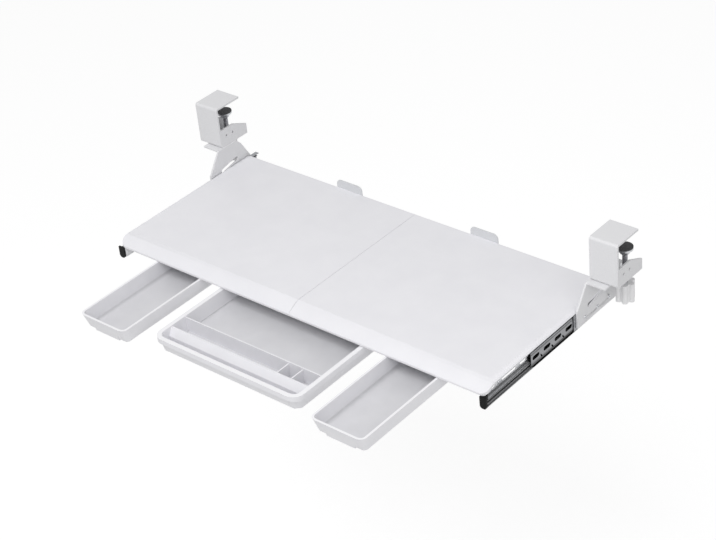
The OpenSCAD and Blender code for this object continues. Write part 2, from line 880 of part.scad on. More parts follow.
// Member on the tray: its web lies on the side channel
module inner_slide() {
    color(ZINC)
        difference() {
            translate([channel_x, 0, slide_z])
                along_y(inner_y, slide_len)
                    inner_section();
            nose_room(channel_x, slide_t);
            for (y = inner_screw_ys)
                translate([0, y, slide_z])
                    rod_x(channel_x - over, channel_x + slide_steel + over, fix_hole_r);
            pane_cuts(channel_x, slide_steel);
        }
}

module inner_slide_screws() {
    color(ZINC)
        on_both_sides()
            for (y = inner_screw_ys)
                translate([0, y, slide_z]) {
                    rod_x(channel_x - channel_t, channel_x + slide_steel, fix_r);
                    rod_x(channel_x + slide_steel, channel_x + slide_steel + fix_head_h, fix_head_d / 2);
                }
}

// Two strips that keep the balls of one pair of races apart
module ball_cages(x, y, race_z, ball_count) {
    cage_len = ball_count * ball_pitch;
    color(DARK_ZINC)
        for (side = [-1, 1])
            translate([x, y, slide_z + side * race_z])
                difference() {
                    translate([-cage_w / 2, 0, -cage_t / 2])
                        cube([cage_w, cage_len, cage_t]);
                    for (i = [0 : ball_count - 1])
                        translate([0, (i + 0.5) * ball_pitch, -cage_t / 2 - over])
                            cylinder(r = ball_d / 2 + hole_gap, h = cage_t + 2 * over);
                }
}

module balls(x, y, race_z, ball_count) {
    color(ZINC)
        on_both_sides()
            for (side = [-1, 1])
                for (i = [0 : ball_count - 1])
                    translate([x, y + (i + 0.5) * ball_pitch, slide_z + side * race_z])
                        sphere(d = ball_d);
}

outer_race_z = (mid_member_h + race_h) / 2;
inner_race_z = (inner_member_h + race_h) / 2;

module outer_cages() {
    ball_cages(outer_cage_x, outer_cage_y, outer_race_z, outer_ball_count);
}

module inner_cages() {
    ball_cages(inner_cage_x, inner_cage_y, inner_race_z, inner_ball_count);
}

module outer_balls() {
    balls(outer_cage_x, outer_cage_y, outer_race_z, outer_ball_count);
}

module inner_balls() {
    balls(inner_cage_x, inner_cage_y, inner_race_z, inner_ball_count);
}

// Front cap: it closes the front end of the tray's member, below the nose
module slide_cap() {
    plug_low = slide_z - inner_member_h / 2 + slide_steel + run_gap;
    plug_h = nose_low - run_gap - plug_low;
    plug_w = inner_flange - slide_steel;
    plug_len = inner_flange + slide_steel;
    color(BLACK_PLASTIC) {
        along_y(inner_y - cap_t, cap_t)
            translate([channel_x, cap_low])
                difference() {
                    square([slide_t, nose_low - cap_low]);
                    corner_cut(cap_r);
                    translate([slide_t, 0])
                        mirror([1, 0])
                            corner_cut(cap_r);
                }
        translate([channel_x + slide_steel, inner_y - over, plug_low])
            cube([plug_w, plug_len + over, plug_h]);
    }
}

// Under frame

// Rail with an upper flange under the panel, to which the tray's member is screwed. Its windows
// lie behind those of the member.
module side_channel() {
    channel_len = crease_y + tray_flat_d - tab_foot - over - inner_y;
    channel_low = channel_floor - slide_steel;
    color(WHITE_STEEL)
        difference() {
            along_y(inner_y, channel_len) {
                translate([channel_x - channel_t, channel_low])
                    square([channel_t, panel_low - channel_low]);
                translate([channel_x - channel_flange, panel_low - channel_t])
                    square([channel_flange, channel_t]);
            }
            nose_room(channel_x - channel_flange, channel_flange);
            for (y = [front_bar, rear_bar])
                translate([channel_x - channel_flange - over, y - run_gap, bar_low - over])
                    cube([channel_flange + over - channel_t, bar_w + 2 * run_gap, bar_h + 2 * over]);
            for (y = inner_screw_ys)
                translate([0, y, slide_z])
                    rod_x(channel_x - channel_t - over, channel_x + over, fix_hole_r);
            pane_cuts(channel_x - channel_t, channel_t);
            for (y = edge_screw_ys)
                translate([edge_screw_x, y, panel_low - channel_t - over])
                    cylinder(r = fix_hole_r, h = channel_t + 2 * over);
        }
}

module crossbar(y) {
    color(WHITE_STEEL)
        difference() {
            along_x(-bar_half, 2 * bar_half)
                translate([y, bar_low])
                    difference() {
                        square([bar_w, bar_h]);
                        translate([bar_t, bar_t])
                            square([bar_w - 2 * bar_t, bar_h]);
                    }
            on_both_sides() {
                for (x = bar_screw_xs)
                    translate([x, y + bar_w / 2, bar_low - over])
                        cylinder(r = fix_hole_r, h = bar_t + 2 * over);
                for (x = runner_screw_xs)
                    translate([x, y + bar_w / 2, bar_low - over])
                        cylinder(r = fix_hole_r, h = bar_t + 2 * over);
            }
        }
}

// Tray panels

// The side and front views run past the plan, which trims them to the tray's outline

module tray_side_view() {
    front_y = crease_y - nose_d;
    translate([crease_y, panel_low])
        square([tray_flat_d + over, panel_t]);
    difference() {
        intersection() {
            translate([front_y - over, tray_z - nose_drop - nose_lip])
                square([nose_d + 2 * over, nose_drop + nose_lip]);
            translate([nose_cy, nose_cz])
                circle(nose_r, $fn = 180);
        }
        translate([nose_cy, nose_cz])
            circle(nose_r - panel_t, $fn = 180);
        translate([crease_y, panel_low - nose_drop - nose_lip])
            square([nose_d, nose_drop + nose_lip]);
    }
}

module tray_front_view() {
    depth = nose_drop + nose_lip + over;
    difference() {
        translate([seam_gap / 2, tray_z - depth])
            square([(tray_w - seam_gap) / 2 + over, depth]);
        difference() {
            translate([tray_w / 2 - edge_w, tray_z - edge_drop])
                square([edge_w + over, edge_drop + over]);
            translate([tray_w / 2 - edge_w, tray_z - edge_r])
                circle(edge_r, $fn = 120);
        }
    }
}

module tray_plan() {
    front_y = crease_y - nose_d;
    difference() {
        translate([0, front_y])
            square([tray_w / 2, tray_flat_d + nose_d]);
        translate([tray_w / 2, front_y])
            mirror([1, 0])
                corner_cut(front_corner_r);
        translate([tray_w / 2, rear_y])
            rotate(180)
                corner_cut(rear_corner_r);
    }
}

module panel() {
    color(WHITE_PLASTIC)
        difference() {
            intersection() {
                along_x(0, tray_w / 2 + over)
                    tray_side_view();
                along_y(crease_y - nose_d - over, tray_flat_d + nose_d + 2 * over)
                    tray_front_view();
                translate([0, 0, tray_z - nose_drop - nose_lip - over])
                    linear_extrude(nose_drop + nose_lip + 2 * over)
                        tray_plan();
            }
            for (x = bar_screw_xs)
                for (y = bar_screw_ys)
                    panel_screw_hole(x, y);
            for (y = edge_screw_ys)
                panel_screw_hole(edge_screw_x, y);
            for (y = joiner_screw_ys)
                panel_screw_hole(joiner_screw_x, y);
            for (x = tab_screw_xs)
                panel_screw_hole(x, tab_screw_y);
        }
}

module panel_screw_hole(x, y) {
    translate([x, y, panel_low - over])
        cylinder(r = fix_hole_r, h = fix_bite + over);
}

module panel_joiner() {
    color(WHITE_STEEL)
        translate([-joiner_w / 2, joiner_y, panel_low - joiner_t])
            difference() {
                cube([joiner_w, joiner_len, joiner_t]);
                for (x = [-joiner_screw_x, joiner_screw_x])
                    for (y = joiner_screw_ys)
                        translate([joiner_w / 2 + x, y - joiner_y, -over])
                            cylinder(r = fix_hole_r, h = joiner_t + 2 * over);
            }
}

module panel_screws() {
    color(ZINC)
        on_both_sides() {
            for (x = bar_screw_xs)
                for (y = bar_screw_ys)
                    translate([x, y, bar_low])
                        frame_screw(bar_h + fix_bite);
            for (y = edge_screw_ys)
                translate([edge_screw_x, y, panel_low - channel_t])
                    frame_screw(channel_t + fix_bite);
            for (y = joiner_screw_ys)
                translate([joiner_screw_x, y, panel_low - joiner_t])
                    frame_screw(joiner_t + fix_bite);
        }
}

// Rear stop tabs

module stop_tab() {
    plate_low = panel_low - tab_t;
    plate_h = tray_z + tab_h - plate_low;
    color(LIGHT_GREY)
        translate([tab_x - tab_w / 2, 0, plate_low])
            difference() {
                union() {
                    along_y(rear_y, tab_t)
                        difference() {
                            square([tab_w, plate_h]);
                            translate([0, plate_h])
                                mirror([0, 1])
                                    corner_cut(tab_r);
                            translate([tab_w, plate_h])
                                rotate(180)
                                    corner_cut(tab_r);
                        }
                    translate([0, rear_y - tab_foot, 0])
                        cube([tab_w, tab_foot + tab_t / 2, tab_t]);
                }
                for (x = [tab_w / 4, tab_w * 3 / 4])
                    translate([x, tab_screw_y, -over])
                        cylinder(r = fix_hole_r, h = tab_t + 2 * over);
            }
}

module tab_screws() {
    color(ZINC)
        on_both_sides()
            for (x = tab_screw_xs)
                translate([x, tab_screw_y, panel_low - tab_t])
                    frame_screw(tab_t + fix_bite);
}

// Drawer runners

side_reach = side_w / 2 + tongue_w + run_gap;
mid_reach = mid_w / 2 + tongue_w + run_gap;
lip_reach = tongue_w - run_gap;
runner_screw_in = runner_t + runner_flange / 2;
runner_screw_xs = [
    mid_reach + runner_screw_in,
    side_x - side_reach - runner_screw_in,
    side_x + side_reach + runner_screw_in
];

// Section of the runner to the right of a drawer: the tongue between hold_low and hold_top
// slides between its two lips
module runner_section(reach, hold_low, hold_top) {
    web_low = hold_low - run_gap - runner_t;
    translate([reach, web_low])
        square([runner_t, bar_low - web_low]);
    translate([reach, bar_low - runner_t])
        square([runner_t + runner_flange, runner_t]);
    for (z = [web_low, hold_top + run_gap])
        translate([reach - lip_reach, z])
            square([lip_reach + runner_t, runner_t]);
}

// Runner to the right of a drawer whose rim lies at rim_z, closed at its front end
module runner(reach, rim_z) {
    hold_low = rim_z - tongue_h;
    web_low = hold_low - run_gap - runner_t;
    web_h = rim_z + run_gap + runner_t - web_low;
    difference() {
        union() {
            along_y(runner_y, runner_len)
                runner_section(reach, hold_low, rim_z);
            translate([reach - lip_reach, runner_y, web_low])
                cube([lip_reach + runner_t, runner_t, web_h]);
        }
        for (y = bar_screw_ys)
            translate([reach + runner_screw_in, y, bar_low - runner_t - over])
                cylinder(r = fix_hole_r, h = runner_t + 2 * over);
    }
}

module side_drawer_runners() {
    color(ZINC)
        translate([side_x, 0, 0])
            on_both_sides()
                runner(side_reach, side_rim_z);
}

module middle_drawer_runners() {
    color(ZINC)
        on_both_sides()
            runner(mid_reach, mid_rim_z);
}

module runner_screws() {
    color(ZINC)
        on_both_sides()
            for (x = runner_screw_xs)
                for (y = bar_screw_ys)
                    translate([x, y, bar_low - runner_t])
                        frame_screw(runner_t + bar_t);
}

// Drawers

// Strips along both rims of a drawer that hang it in its runners
module tongues(w, wall, front_y, rear_end) {
    start = tongue_y - front_y;
    on_both_sides()
        translate([w / 2 - wall / 2, start, -tongue_h])
            cube([wall / 2 + tongue_w, rear_end - start, tongue_h]);
}

// Thickening along a side drawer's lower front edge, in its side view
module finger_lip() {
    lip_top = lip_h - side_h;
    back = side_front_lean + side_bottom_r;
    polygon([
        [side_front_lean * (1 - lip_h / side_h), lip_top],
        [side_front_lean - lip_out, lip_out - side_h],
        [side_front_lean, -side_h],
        [back, -side_h],
        [back, lip_top]
    ]);
}

module side_drawer() {
    inner_w = side_w - 2 * side_wall;
    inner_d = side_d - 2 * side_wall;
    inner_r = side_bottom_r - side_wall;
    color(WHITE_PLASTIC)
        translate([side_x, side_y, side_rim_z])
            difference() {
                union() {
                    tub(side_w, side_d, side_h, side_draft, side_front_lean, side_corner_r, side_bottom_r);
                    along_x(-lip_w / 2, lip_w)
                        finger_lip();
                    tongues(side_w, side_wall, side_y, side_d - side_corner_r);
                }
                translate([0, side_wall, 0])
                    tub(inner_w, inner_d, side_h - side_floor, side_draft, side_front_lean,
                        side_corner_r - side_wall, inner_r);
            }
}

// Space inside the middle drawer's walls
module middle_cavity(extra) {
    body_w = mid_w - 2 * rim_over;
    body_d = mid_d - 2 * rim_over;
    translate([0, rim_over + mid_wall - extra, 0])
        tub(body_w - 2 * mid_wall + 2 * extra, body_d - 2 * mid_wall + 2 * extra, mid_h - mid_floor,
            mid_draft, mid_front_lean, rim_corner_r - rim_over - mid_wall + extra,
            mid_bottom_r - mid_wall);
}

module middle_dividers() {
    floor_z = mid_floor - mid_h;
    top_z = -divider_drop;
    row_y = ridge_y + bin_row_d;
    along_x(-mid_w / 2, mid_w)
        polygon([
            [ridge_y - ridge_slope, floor_z - mid_floor / 2],
            [ridge_y - ridge_slope, top_z - ridge_drop],
            [ridge_y, top_z],
            [ridge_y + divider_t, top_z],
            [ridge_y + divider_t, floor_z - mid_floor / 2]
        ]);
    translate([-mid_w / 2, row_y, floor_z - mid_floor / 2])
        cube([mid_w, divider_t, top_z - floor_z + mid_floor / 2]);
    for (x = [bin_divider_x, bin_divider_x + bin_w])
        translate([x, ridge_y, floor_z - mid_floor / 2])
            cube([divider_t, bin_row_d + divider_t / 2, top_z - floor_z - divider_t]);
}

module middle_drawer() {
    color(WHITE_PLASTIC)
        translate([0, mid_drawer_y, mid_rim_z]) {
            difference() {
                union() {
                    translate([0, rim_over, 0])
                        tub(mid_w - 2 * rim_over, mid_d - 2 * rim_over, mid_h, mid_draft, mid_front_lean,
                            rim_corner_r - rim_over, mid_bottom_r);
                    translate([-mid_w / 2, 0, -rim_h])
                        linear_extrude(rim_h)
                            round_rect(mid_w, mid_d, rim_corner_r);
                    tongues(mid_w, mid_wall, mid_drawer_y, mid_d - rim_corner_r);
                }
                middle_cavity(0);
            }
            intersection() {
                middle_dividers();
                middle_cavity(mid_wall / 2);
            }
        }
}

on_left() clamp_bracket();  // left_clamp_bracket
clamp_bracket();  // right_clamp_bracket
on_left() top_pad();  // left_top_pad
top_pad();  // right_top_pad
clamp_nuts();
on_left() clamp_foot();  // left_clamp_foot
clamp_foot();  // right_clamp_foot
on_left() foot_pad();  // left_foot_pad
foot_pad();  // right_foot_pad
on_left() clamp_screw();  // left_clamp_screw
clamp_screw();  // right_clamp_screw
on_left() clamp_knob();  // left_clamp_knob
clamp_knob();  // right_clamp_knob
on_left() hanger();  // left_hanger
hanger();  // right_hanger
hanger_bolts();
hanger_nuts();
on_left() fixed_slide();  // left_fixed_slide
fixed_slide();  // right_fixed_slide
fixed_slide_screws();
on_left() outer_cages();  // left_outer_cages
outer_cages();  // right_outer_cages
outer_balls();
on_left() mid_slide();  // left_mid_slide
mid_slide();  // right_mid_slide
on_left() inner_cages();  // left_inner_cages
inner_cages();  // right_inner_cages
inner_balls();
on_left() inner_slide();  // left_inner_slide
inner_slide();  // right_inner_slide
on_left() slide_cap();  // left_slide_cap
slide_cap();  // right_slide_cap
inner_slide_screws();
on_left() side_channel();  // left_side_channel
side_channel();  // right_side_channel
crossbar(front_bar);  // front_crossbar
crossbar(rear_bar);  // rear_crossbar
on_left() panel();  // left_panel
panel();  // right_panel
panel_joiner();
panel_screws();
on_left() stop_tab();  // left_stop_tab
stop_tab();  // right_stop_tab
tab_screws();
on_left() side_drawer_runners();  // left_drawer_runners
middle_drawer_runners();
side_drawer_runners();  // right_drawer_runners
runner_screws();
on_left() side_drawer();  // left_drawer
middle_drawer();
side_drawer();  // right_drawer
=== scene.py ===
"""Looks of the clamp-on pull-out tray: finishes, small hardware, light and camera."""
import json
import math

import bmesh
import bpy
from mathutils import Matrix, Vector


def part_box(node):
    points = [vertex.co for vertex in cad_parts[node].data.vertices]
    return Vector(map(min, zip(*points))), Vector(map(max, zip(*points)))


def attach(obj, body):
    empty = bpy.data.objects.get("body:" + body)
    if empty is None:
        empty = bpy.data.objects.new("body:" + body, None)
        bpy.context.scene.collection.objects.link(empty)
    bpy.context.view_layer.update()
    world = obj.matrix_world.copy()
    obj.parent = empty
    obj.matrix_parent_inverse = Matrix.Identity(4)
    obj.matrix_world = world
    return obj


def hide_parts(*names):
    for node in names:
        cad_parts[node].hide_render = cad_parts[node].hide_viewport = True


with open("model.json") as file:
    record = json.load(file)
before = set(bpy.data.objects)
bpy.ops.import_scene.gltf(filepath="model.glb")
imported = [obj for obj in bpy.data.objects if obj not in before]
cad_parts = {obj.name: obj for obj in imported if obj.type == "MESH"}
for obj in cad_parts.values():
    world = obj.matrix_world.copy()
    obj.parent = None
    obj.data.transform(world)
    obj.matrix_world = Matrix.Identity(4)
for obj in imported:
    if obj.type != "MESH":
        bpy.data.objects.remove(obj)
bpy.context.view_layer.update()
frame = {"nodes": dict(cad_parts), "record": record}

MM = 0.001
NODES = frame["nodes"]
RECORD = frame["record"]
SLOT_OF = {part["node"]: part["material_slot"] for part in RECORD["subparts"]}
BODY_OF = {node: body for body, nodes in RECORD["behaviour"]["bodies"].items() for node in nodes}
SIDES = ("left", "right")
X_AXIS = 0
Z_AXIS = 2
UPRIGHT = Matrix.Identity(3)

# Camera: the photograph's angle, and the lens that gives its perspective
IMAGE_W = 716
FOCAL_PX = 1823.0
SENSOR_W = 36.0
CAMERA_AZIMUTH = math.radians(43.12)
CAMERA_ELEVATION = math.radians(33.25)
CAMERA_ROLL = math.radians(-6.11)
CAMERA_DISTANCE = 2.64811
CAMERA_TARGET = Vector((0.02398, -0.11644, -0.1015))

# Stage: the floor's height in the tray's frame, its size, and how it looks to the camera
FLOOR_Z = -0.74
FLOOR_HALF = 6.0
FLOOR_COLOUR = (0.86, 0.86, 0.86, 1)
FLOOR_GLOW = 0.78
FLOOR_SHADE = (0.32, 0.32, 0.32, 1)
WHITE = (1, 1, 1, 1)

# Light: an even world, a large lamp in front and a weak one on the right
WORLD_LIGHT = 0.5
KEY_LAMP = {"place": (0.1, -1.4, 1.9), "aim": (0, -0.15, -0.1), "size": (1.8, 1.4), "watts": 31}
FILL_LAMP = {"place": (1.8, -0.9, 0.6), "aim": (0, -0.1, -0.1), "size": (1.4, 1.4), "watts": 8}

# Rounding of the edges of each finish
EDGE_WIDTH = {
    "white_steel": 0.5 * MM,
    "white_panel": 0.8 * MM,
    "white_drawer": 0.7 * MM,
    "white_knob": 1.2 * MM,
    "grey_tab": 0.5 * MM,
    "zinc_slide": 0.2 * MM,
    "zinc_small": 0.3 * MM,
    "zinc_runner": 0.25 * MM,
    "dark_steel": 0.3 * MM,
    "black_cap": 0.7 * MM,
    "grey_rubber": 0.4 * MM,
}
CAGE_EDGE_WIDTH = 0.1 * MM
EDGE_SEGMENTS = 3
EDGE_ANGLE = math.radians(32)
WELD_DISTANCE = 0.002 * MM
NORMAL_WEIGHT = 80

# Clamp screw's thread
THREAD_PITCH = 1.25 * MM
THREAD_DEPTH = 0.65 * MM
THREAD_AROUND = 36
THREAD_ROWS_PER_TURN = 6

# Pan-head screws: sizes and counts
HEAD_HEIGHT = 1.2 * MM
SHANK_RADIUS = 1.5 * MM
HEAD_AROUND = 32
HEAD_RINGS = 5

# Pan-head screws: shares of the shank's radius, and of the head's radius and height
SHANK_TIP = 0.6
HEAD_CROWN = 0.38
HEAD_BAND = 0.35
RECESS_REACH = 0.55
RECESS_WIDTH = 0.16
RECESS_DEPTH = 0.6
RECESS_TAPER = 0.8

# Decimals of a metre that count when a node's solids are sorted by their place
SORT_DIGITS = 6

# Tones of each finish, the two between which its texture runs
TONES = {
    "white_steel": ((0.70, 0.70, 0.715), (0.75, 0.75, 0.765)),
    "white_panel": ((0.785, 0.782, 0.812), (0.81, 0.807, 0.835)),
    "white_knob": ((0.78, 0.78, 0.79), (0.82, 0.82, 0.825)),
    "grey_tab": ((0.62, 0.63, 0.65), (0.68, 0.69, 0.71)),
    "zinc_slide": ((0.22, 0.225, 0.24), (0.40, 0.405, 0.42)),
    "zinc_small": ((0.52, 0.53, 0.55), (0.68, 0.69, 0.71)),
    "zinc_runner": ((0.50, 0.51, 0.53), (0.68, 0.69, 0.71)),
    "dark_steel": ((0.22, 0.22, 0.24), (0.34, 0.34, 0.36)),
    "black_cap": ((0.004, 0.004, 0.0045), (0.008, 0.008, 0.0085)),
    "grey_rubber": ((0.045, 0.045, 0.048), (0.08, 0.08, 0.084)),
    "tub_wall": ((0.78, 0.777, 0.806), (0.81, 0.807, 0.834)),
    # Drawers: painted highlight on the rim, painted shade on the floor, and darker painted shade in the
    # floor's rounded corners
    "tub_rim_painted_highlight": ((0.85, 0.847, 0.868), (0.87, 0.867, 0.888)),
    "tub_floor_painted_shade": ((0.63, 0.628, 0.652), (0.67, 0.668, 0.692)),
    "tub_corner_painted_shade": ((0.52, 0.518, 0.54), (0.56, 0.558, 0.58)),
    "bright_plate": ((0.68, 0.69, 0.71), (0.76, 0.77, 0.79)),
    "dull_plate": ((0.24, 0.244, 0.256), (0.36, 0.364, 0.376)),
    "grease_film": ((0.10, 0.102, 0.106), (0.54, 0.545, 0.555)),
    "thick_film": ((0.05, 0.051, 0.054), (0.20, 0.203, 0.21)),
    # Black painted on the slides' members as shade, seen through the middle member's slots and in its
    # rolled crease
    "painted_black_shade": ((0.010, 0.010, 0.011), (0.035, 0.035, 0.037)),
}

# Noise levels at which a texture reaches its first and its second value, on most finishes, and in grease
# and painted black shade
TEXTURE_ENDS = (0.3, 0.7)
STREAK_ENDS = (0.42, 0.58)

# Gloss of plain, panel and cap surfaces, and how metallic bare steel looks, and steel under grease and
# under painted black shade
PLAIN_GLOSS = 0.5
PANEL_GLOSS = 0.3
CAP_GLOSS = 0.08
BARE_METAL = 1.0
GREASE_AND_SHADE_METAL = 0.3

# Texture cells in a metre along X, Y and Z on rolled strip, on grease and painted black shade, and on
# small parts
ALONG_Y = (2600, 14, 2600)
STREAKS = (560, 3, 560)
ALL_WAYS = (700, 700, 700)

# Drawers: height of the floor zone that is darkened as painted shade and of the rim that is lightened as
# a painted highlight, and the fade between zones
TUB_PAINTED_SHADE_ZONE = 9 * MM
TUB_PAINTED_HIGHLIGHT_ZONE = 1.2 * MM
TUB_PAINTED_SHADE_FADE = 4 * MM

# Drawers: the upward share of a face's normal, from and to, for the painted highlight on the rim and the
# painted shade on the floor
RIM_HIGHLIGHT_FACING = (0.3, 0.7)
FLOOR_SHADE_FACING = (0.1, 0.5)

# Drawers: the same share for the darker painted shade in the rounded corners of the floor, at the middle
# and to either side
CORNER_SHADE_FACING = (0.6, 0.4)

# Slides: where grease lies on the tray's and the middle members, and where black is painted on them as
# shade
TRAY_MEMBER_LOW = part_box("right_inner_slide")[0]
MID_MEMBER_LOW, MID_MEMBER_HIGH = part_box("right_mid_slide")
TRAY_FILM_Z = TRAY_MEMBER_LOW.z + 9.3 * MM
TRAY_FILM_FADE = 0.3 * MM
# Black is painted as shade on the tray's member beyond this, behind the middle member
COVERED_Y = MID_MEMBER_LOW.y + 4 * MM
COVERED_FADE = 0.3 * MM
MID_FILM_Z = MID_MEMBER_LOW.z + 4 * MM
MID_FILM_FADE = 2.5 * MM
# Band painted black as the shade in the middle member's rolled crease
CREASE_Z = MID_MEMBER_HIGH.z - 3.5 * MM
CREASE_HALF = 1.3 * MM


# Finishes


class Finish:
    """A procedural material: a Principled shader and the textures that feed it."""

    def __init__(self, name, gloss=PLAIN_GLOSS):
        self.material = bpy.data.materials.new(name)
        self.material.use_nodes = True
        self.tree = self.material.node_tree
        self.shader = self.tree.nodes["Principled BSDF"]
        self.shader.inputs["Specular IOR Level"].default_value = gloss
        coordinates = self.tree.nodes.new("ShaderNodeTexCoord")
        self.place = coordinates.outputs["Object"]
        self.facing = coordinates.outputs["Normal"]

    def node(self, kind, **inputs):
        made = self.tree.nodes.new(kind)
        for name, value in inputs.items():
            made.inputs[name.replace("_", " ")].default_value = value
        return made

    def link(self, output, entry):
        self.tree.links.new(output, entry)

    def stretched(self, x, y, z):
        mapping = self.node("ShaderNodeMapping", Scale=(x, y, z))
        self.link(self.place, mapping.inputs["Vector"])
        return mapping.outputs["Vector"]

    def noise(self, scale, detail=3.0, place=None):
        made = self.node("ShaderNodeTexNoise", Scale=scale, Detail=detail)
        self.link(place or self.place, made.inputs["Vector"])
        return made.outputs["Fac"]

    def cells(self, scale):
        made = self.node("ShaderNodeTexVoronoi", Scale=scale)
        self.link(self.place, made.inputs["Vector"])
        return made.outputs["Distance"]

    def tone(self, name, factor, ends=TEXTURE_ENDS):
        """Gives a colour between the two tones of a name."""
        made = self.tree.nodes.new("ShaderNodeValToRGB")
        for stop, position, colour in zip(made.color_ramp.elements, ends, TONES[name]):
            stop.position = position
            stop.color = (*colour, 1)
        self.link(factor, made.inputs["Fac"])
        return made.outputs["Color"]

    def mixed(self, first, second, factor):
        """Gives one colour where a factor is 0, and another where it is 1."""
        made = self.tree.nodes.new("ShaderNodeMix")
        made.data_type = "RGBA"
        colours = [entry for entry in made.inputs if entry.type == "RGBA"]
        self.link(factor, made.inputs["Factor"])
        self.link(first, colours[0])
        self.link(second, colours[1])
        return next(out for out in made.outputs if out.type == "RGBA")

    def spread(self, value, start, end, low, high):
        """Gives low where a value is at the start, and high where it is at the end."""
        made = self.node("ShaderNodeMapRange", From_Min=start, From_Max=end, To_Min=low, To_Max=high)
        self.link(value, made.inputs["Value"])
        return made.outputs["Result"]

    def band(self, value, centre, half):
        """Gives 1 where a value is at the centre, and falls to 0 at half a band's width from it."""
        rise = self.spread(value, centre - half, centre, 0.0, 1.0)
        fall = self.spread(value, centre, centre + half, 1.0, 0.0)
        return self.combined("MINIMUM", rise, fall)

    def combined(self, operation, first, second):
        made = self.tree.nodes.new("ShaderNodeMath")
        made.operation = operation
        self.link(first, made.inputs[0])
        self.link(second, made.inputs[1])
        return made.outputs["Value"]

    def axis(self, vector, axis):
        made = self.tree.nodes.new("ShaderNodeSeparateXYZ")
        self.link(vector, made.inputs["Vector"])
        return made.outputs[axis]

    def colour(self, output):
        self.link(output, self.shader.inputs["Base Color"])

    def rough(self, low, high, factor):
        self.link(self.spread(factor, *TEXTURE_ENDS, low, high), self.shader.inputs["Roughness"])

    def bump(self, height, strength, distance):
        made = self.node("ShaderNodeBump", Strength=strength, Distance=distance)
        self.link(height, made.inputs["Height"])
        self.link(made.outputs["Normal"], self.shader.inputs["Normal"])


def powder_coat(name):
    """Sprayed and baked paint with a fine orange peel."""
    finish = Finish(name)
    finish.colour(finish.tone(name, finish.noise(scale=900, detail=4)))
    finish.rough(low=0.40, high=0.52, factor=finish.noise(scale=60))
    finish.bump(finish.noise(scale=1400, detail=2), strength=0.16, distance=0.12 * MM)
    return finish.material


def satin_panel(name):
    """Pressed panel with a fine leather-like grain."""
    finish = Finish(name, PANEL_GLOSS)
    finish.colour(finish.tone(name, finish.noise(scale=25, detail=5)))
    finish.rough(low=0.40, high=0.50, factor=finish.noise(scale=90))
    finish.bump(finish.cells(scale=1600), strength=0.10, distance=0.06 * MM)
    return finish.material


def moulded_skin(finish, grain):
    """Soft gloss of a spark-eroded mould."""
    finish.rough(low=0.30, high=0.42, factor=finish.noise(scale=140))
    finish.bump(finish.noise(scale=grain), strength=0.10, distance=0.05 * MM)


def moulding(name, grain, gloss=PLAIN_GLOSS):
    """Injection-moulded plastic."""
    finish = Finish(name, gloss)
    finish.colour(finish.tone(name, finish.noise(scale=35, detail=4)))
    moulded_skin(finish, grain)
    return finish.material


def tub_plastic(node):
    """Moulded drawer with a painted highlight on its upward rim, and painted shade on its floor that is
    darkest in the floor's rounded corners.
    """
    finish = Finish(f"white_{node}")
    low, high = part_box(node)
    height = finish.axis(finish.place, "Z")
    upward = finish.axis(finish.facing, "Z")
    floor_z = low.z + TUB_PAINTED_SHADE_ZONE
    rim_z = high.z - TUB_PAINTED_HIGHLIGHT_ZONE
    by_floor = finish.spread(height, floor_z, floor_z + TUB_PAINTED_SHADE_FADE, 1.0, 0.0)
    by_rim = finish.spread(height, rim_z, rim_z + TUB_PAINTED_HIGHLIGHT_ZONE / 2, 0.0, 1.0)
    # Painted highlight on the rim's upward faces, and painted shade on the floor and in its rounded
    # corners
    rim = finish.combined("MULTIPLY", by_rim, finish.spread(upward, *RIM_HIGHLIGHT_FACING, 0.0, 1.0))
    floor = finish.combined("MULTIPLY", by_floor, finish.spread(upward, *FLOOR_SHADE_FACING, 0.0, 1.0))
    corner = finish.combined("MULTIPLY", by_floor, finish.band(upward, *CORNER_SHADE_FACING))
    mottle = finish.noise(scale=35, detail=4)
    colour = finish.tone("tub_wall", mottle)
    for tone, where in (("tub_rim_painted_highlight", rim), ("tub_floor_painted_shade", floor), ("tub_corner_painted_shade", corner)):
        colour = finish.mixed(colour, finish.tone(tone, mottle), where)
    finish.colour(colour)
    moulded_skin(finish, grain=1500)
    return finish.material


def rolled_zinc(name, smoothest, roughest, along):
    """Zinc-plated steel with faint lines along its rolling direction."""
    finish = Finish(name)
    finish.shader.inputs["Metallic"].default_value = BARE_METAL
    lines = finish.noise(scale=1, detail=4, place=finish.stretched(*along))
    finish.colour(finish.tone(name, lines))
    finish.rough(smoothest, roughest, finish.noise(scale=240, detail=5))
    finish.bump(lines, strength=0.08, distance=0.03 * MM)
    return finish.material


def greased_zinc_with_painted_shade(name, plate, film, film_z, fade, painted_shade_at):
    """Zinc-plated strip with a film of grease below film_z, and black painted as shade where a function
    says.
    """
    finish = Finish(name)
    lines = finish.noise(scale=1, detail=4, place=finish.stretched(*ALONG_Y))
    streaks = finish.noise(scale=1, detail=2, place=finish.stretched(*STREAKS))
    low = finish.spread(finish.axis(finish.place, "Z"), film_z - fade, film_z + fade, 1.0, 0.0)
    # Black painted as shade where the given function says
    painted_shade_mask = painted_shade_at(finish)
    colour = finish.mixed(finish.tone(plate, lines), finish.tone(film, streaks, STREAK_ENDS), low)
    finish.colour(finish.mixed(colour, finish.tone("painted_black_shade", streaks, STREAK_ENDS), painted_shade_mask))
    # Grease and painted black shade both make the steel less metallic
    grease_and_painted_shade = finish.combined("MAXIMUM", low, painted_shade_mask)
    metal = finish.spread(grease_and_painted_shade, 0.0, 1.0, BARE_METAL, GREASE_AND_SHADE_METAL)
    finish.link(metal, finish.shader.inputs["Metallic"])
    finish.rough(low=0.29, high=0.34, factor=finish.noise(scale=240, detail=5))
    finish.bump(lines, strength=0.08, distance=0.03 * MM)
    return finish.material


